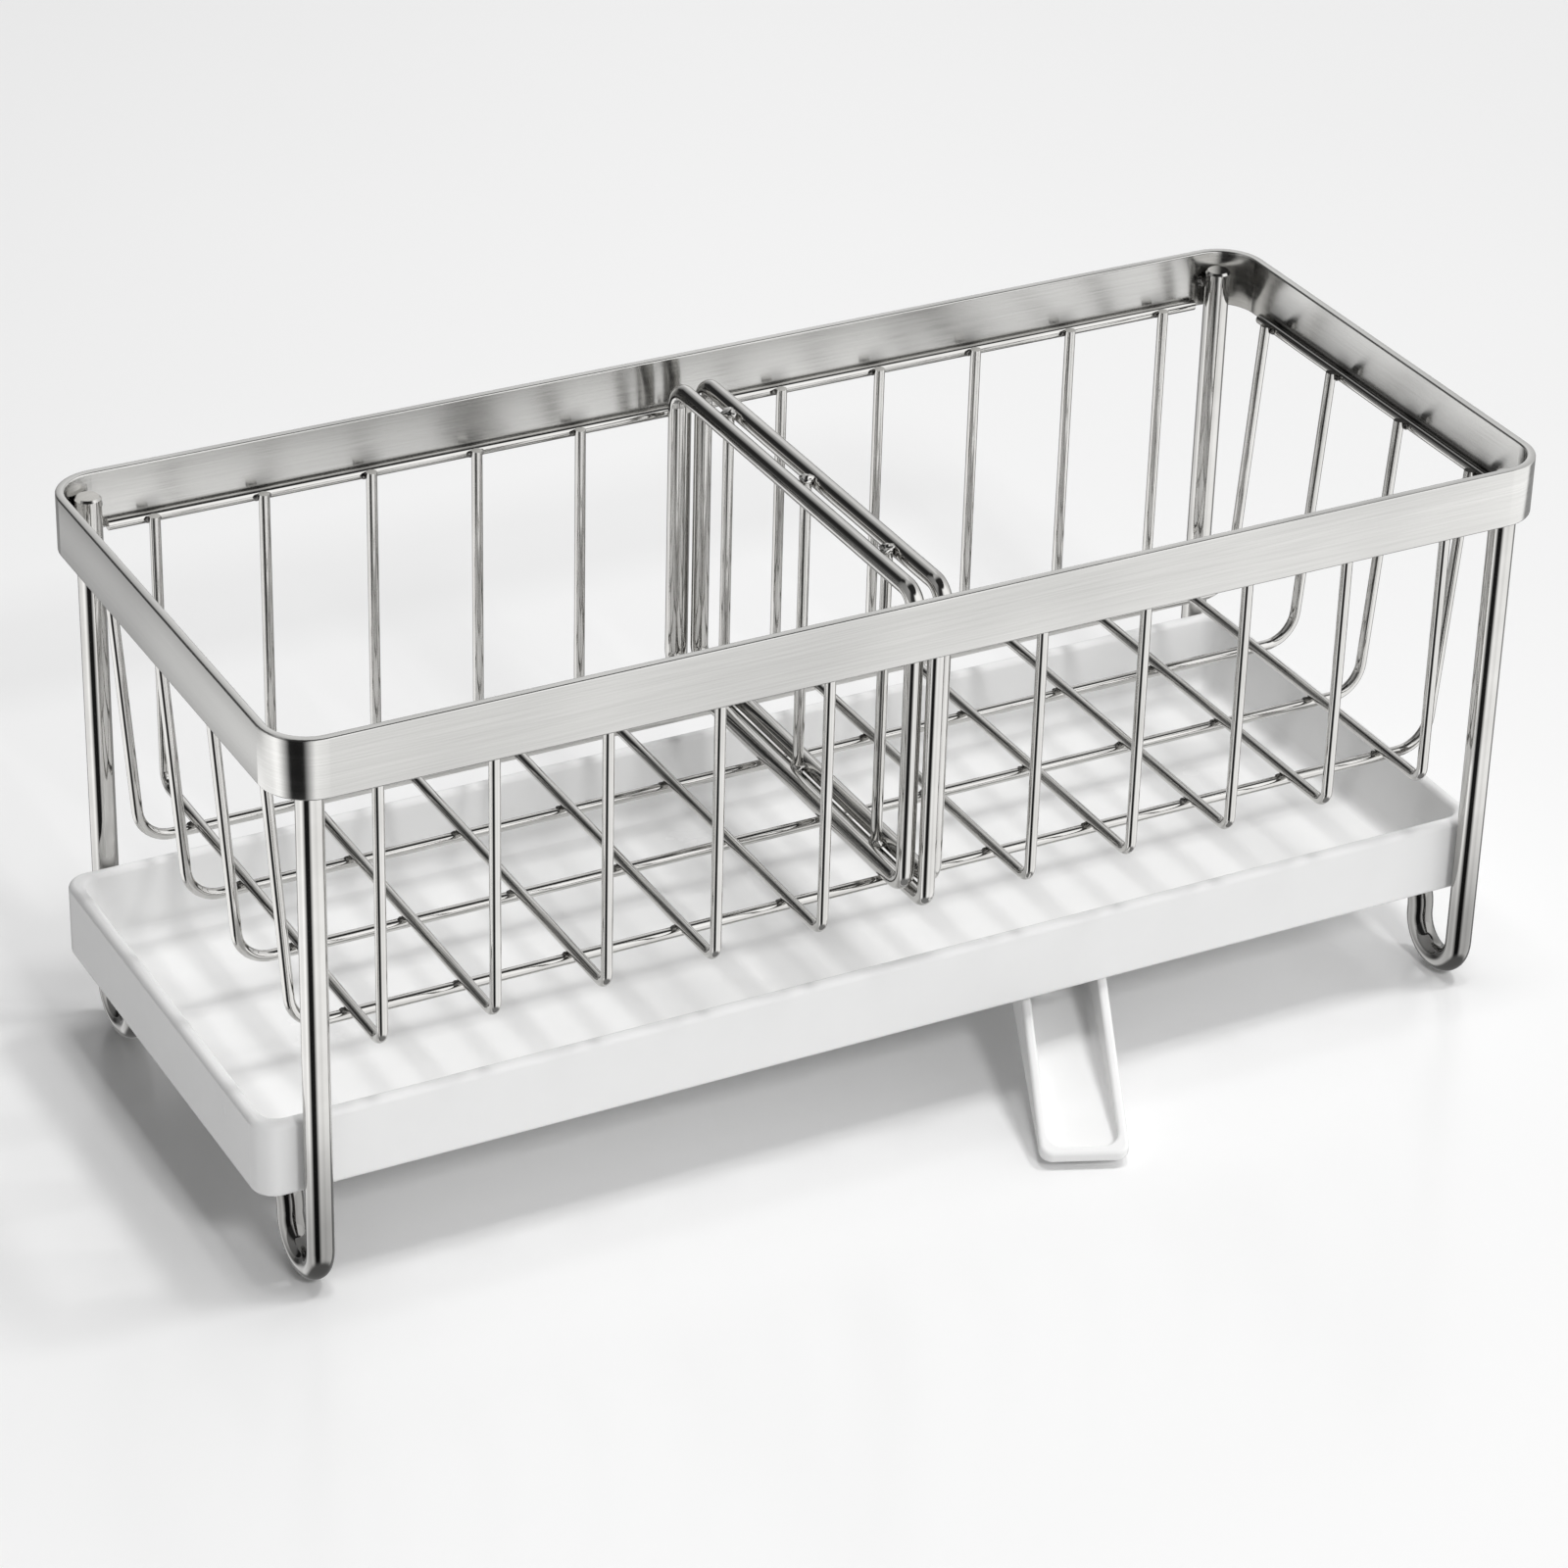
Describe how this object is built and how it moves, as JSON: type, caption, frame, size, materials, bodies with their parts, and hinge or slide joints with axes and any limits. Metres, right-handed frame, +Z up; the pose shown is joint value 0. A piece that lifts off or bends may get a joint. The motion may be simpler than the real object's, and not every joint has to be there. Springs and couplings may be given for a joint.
{
  "type": "kitchen sink caddy",
  "caption": "Wire sink caddy with a flat band rim, a lift-out wire divider, and a white drip tray on the leg frames with a swivelling drain spout.",
  "frame": {"origin": "centre of the rim seen from above, on the counter that the feet stand on", "axes": "+X along the length, to the right seen from the spout's side; +Y to the back; +Z up"},
  "size_m": [0.3081, 0.1596, 0.136],
  "materials": {
    "brushed_band": "brushed along its length",
    "polished_wire": "polished stainless steel",
    "white_plastic": "smooth satin"
  },
  "bodies": {
    "frame": {"rim_band": "brushed_band", "leg_frame_left": "polished_wire", "leg_frame_right": "polished_wire", "top_wire_front_left": "polished_wire", "top_wire_front_right": "polished_wire", "top_wire_back_left": "polished_wire", "top_wire_back_right": "polished_wire", "top_wire_left_end": "polished_wire", "top_wire_right_end": "polished_wire", "cross_wire_01": "polished_wire", "cross_wire_02": "polished_wire", "cross_wire_03": "polished_wire", "cross_wire_04": "polished_wire", "cross_wire_05": "polished_wire", "cross_wire_06": "polished_wire", "cross_wire_07": "polished_wire", "cross_wire_08": "polished_wire", "cross_wire_09": "polished_wire", "cross_wire_10": "polished_wire", "long_wire_1": "polished_wire", "long_wire_2": "polished_wire", "long_wire_3": "polished_wire", "long_wire_4": "polished_wire", "centre_wire": "polished_wire"},
    "divider": {"divider_loop_left": "polished_wire", "divider_loop_right": "polished_wire", "divider_rod_front": "polished_wire", "divider_rod_middle": "polished_wire", "divider_rod_back": "polished_wire"},
    "tray": {"drip_tray": "white_plastic"},
    "spout": {"drain_spout": "white_plastic"}
  },
  "joints": [
    {"name": "divider_lift", "type": "slide", "parent": "frame", "child": "divider", "axis": [0, 0, 1], "range_m": [0, 0.08]},
    {"name": "tray_slide", "type": "slide", "parent": "frame", "child": "tray", "axis": [1, 0, 0], "range_m": [-0.115, 0.02]},
    {"name": "spout_swivel", "type": "hinge", "parent": "tray", "child": "spout", "pos_m": [0.0465, -0.03964, 0.0223], "axis": [0, 0, 1], "range_deg": [-37.5, 82.5]}
  ]
}
